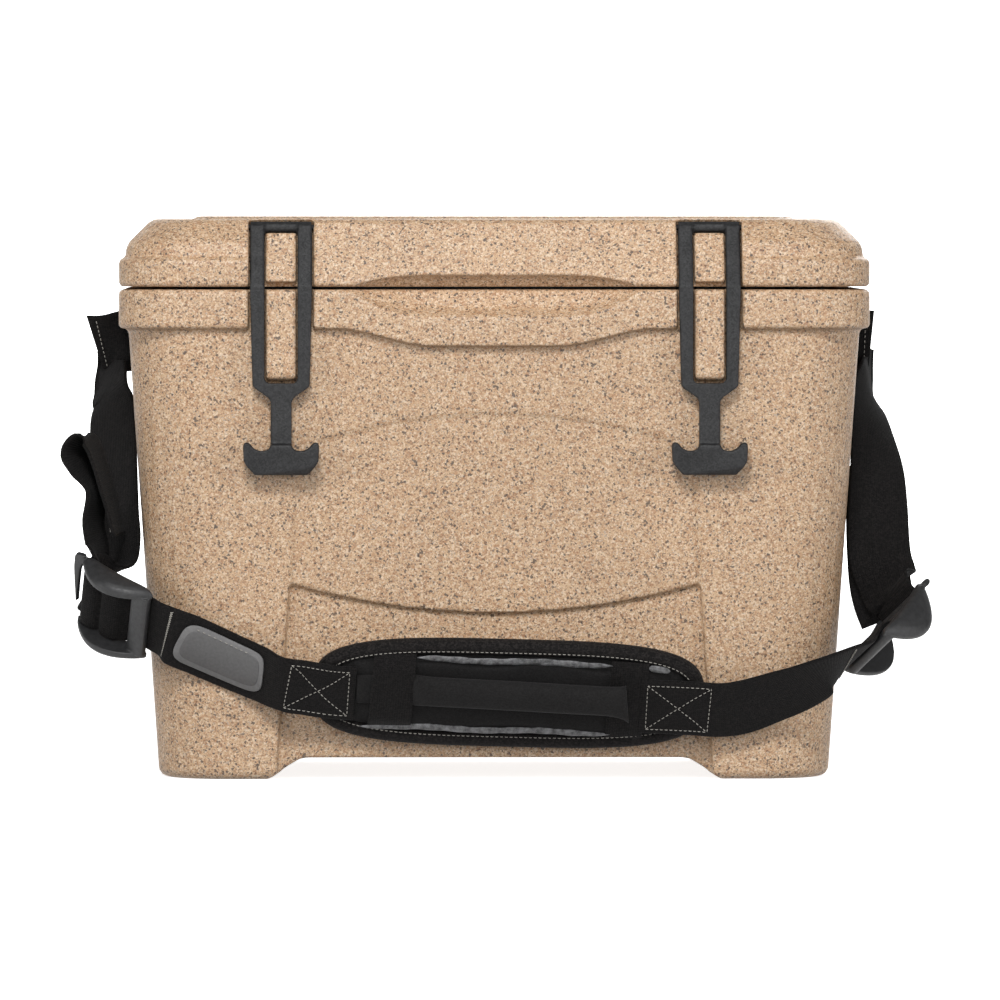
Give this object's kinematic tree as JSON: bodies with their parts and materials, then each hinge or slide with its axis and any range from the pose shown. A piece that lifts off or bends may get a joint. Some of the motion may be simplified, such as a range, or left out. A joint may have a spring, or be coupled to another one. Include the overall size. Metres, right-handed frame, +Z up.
{
  "type": "cooler chest",
  "caption": "Small insulated cooler chest with a hinged lid, rubber T-handle latches, moulded feet and a padded webbing shoulder strap.",
  "frame": {"origin": "centre of the chest's footprint, at the level of its feet, measured without the shoulder strap", "axes": "+X along the chest's length to the right seen from the front, +Y to the hinges at the back, +Z up"},
  "size_m": [0.524, 0.3044, 0.3418],
  "materials": {
    "sand_plastic": "speckled satin, lightly orange-peeled",
    "foam": "cellular",
    "seal": "satin",
    "latch_rubber": "satin",
    "steel": "brushed",
    "webbing": "woven, matt",
    "binding": "woven, matt",
    "pad_fabric": "woven, padded",
    "label": "matt",
    "buckle_plastic": "satin"
  },
  "bodies": {
    "tub": {"tub_shell": "sand_plastic", "tub_foam_core": "foam", "tub_fill_plug": "sand_plastic", "strap_pin_left": "steel", "strap_pin_right": "steel", "hinge_pin_left": "steel", "hinge_pin_right": "steel", "strap_anchor_left": "webbing", "strap_anchor_right": "webbing", "strap_side_left": "webbing", "strap_side_right": "webbing", "strap_tail_left": "webbing", "strap_tail_right": "webbing", "strap_front_left": "webbing", "strap_front_right": "webbing", "strap_label": "label", "buckle_left": "buckle_plastic", "buckle_right": "buckle_plastic", "shoulder_pad": "pad_fabric", "pad_binding": "binding", "grip_roll": "pad_fabric", "grip_band_left": "webbing", "grip_band_right": "webbing"},
    "lid": {"lid_shell": "sand_plastic", "lid_foam_core": "foam", "lid_fill_plug": "sand_plastic", "lid_gasket": "seal", "latch_pin_left": "steel", "latch_pin_right": "steel"},
    "latch_left_body": {"latch_left": "latch_rubber"},
    "latch_right_body": {"latch_right": "latch_rubber"}
  },
  "joints": [
    {"name": "lid_hinge", "type": "hinge", "parent": "tub", "child": "lid", "pos_m": [0, 0.138, 0.2984], "axis": [-1, 0, 0], "range_deg": [0, 95], "deforming": ["latch_left", "latch_right"]},
    {"name": "latch_left_swing", "type": "hinge", "parent": "lid", "child": "latch_left_body", "pos_m": [-0.1295, -0.1145, 0.335], "axis": [-1, 0, 0], "range_deg": [0, 115]},
    {"name": "latch_right_swing", "type": "hinge", "parent": "lid", "child": "latch_right_body", "pos_m": [0.1295, -0.1145, 0.335], "axis": [-1, 0, 0], "range_deg": [0, 115]}
  ]
}
